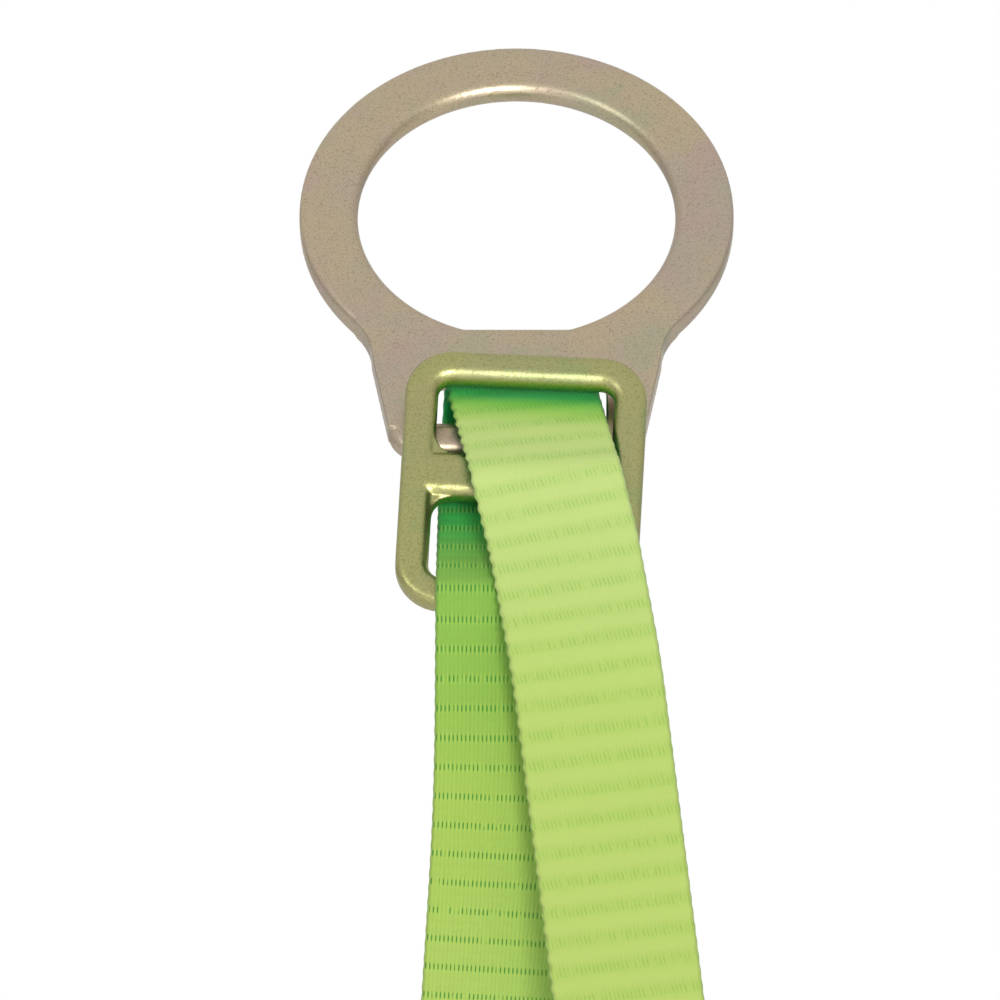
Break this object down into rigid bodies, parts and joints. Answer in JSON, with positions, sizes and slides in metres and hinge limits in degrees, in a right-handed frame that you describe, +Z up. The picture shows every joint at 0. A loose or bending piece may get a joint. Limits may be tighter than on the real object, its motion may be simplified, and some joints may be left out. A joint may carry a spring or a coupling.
{
  "type": "flat web sling",
  "caption": "Adjustable flat web sling: woven web threaded through a forged anchor ring and a forged three-bar slide, with a sleeved sewn eye.",
  "frame": {"origin": "centre of the round eye of the anchor ring, which is the mount ring_eye", "axes": "+Z up along the hanging sling, +X across the web's width, +Y away from the front face; the ring leans back 40 degrees from the plane of X and Z"},
  "size_m": [0.1338, 0.1562, 0.6069],
  "materials": {
    "ring_metal": "yellow zinc plated forging, fine blasted grain",
    "slide_metal": "yellow zinc plated forging, fine blasted grain",
    "web": "woven polyester",
    "sleeve": "woven wear sleeve",
    "thread": "bonded thread",
    "tag": "coated woven label"
  },
  "bodies": {
    "ring": {"anchor_ring": "ring_metal"},
    "web": {"sling_web": "web", "eye_wear_sleeve": "sleeve", "eye_stitching": "thread", "tail_stitching": "thread"},
    "slide": {"three_bar_slide": "slide_metal"},
    "tag": {"identification_tag": "tag", "tag_stitching": "thread"}
  },
  "joints": [
    {"name": "web_swing", "type": "hinge", "parent": "ring", "child": "web", "pos_m": [0, -0.0568, -0.0676], "axis": [1, 0, 0], "range_deg": [-10, 0]},
    {"name": "slide_tilt", "type": "hinge", "parent": "web", "child": "slide", "pos_m": [0.0015, -0.0725, -0.0792], "axis": [1, 0, 0], "range_deg": [0, 6]},
    {"name": "tag_flap", "type": "hinge", "parent": "web", "child": "tag", "pos_m": [-0.0079, -0.0728, -0.2628], "axis": [1, 0, 0], "range_deg": [-80, 8]}
  ]
}
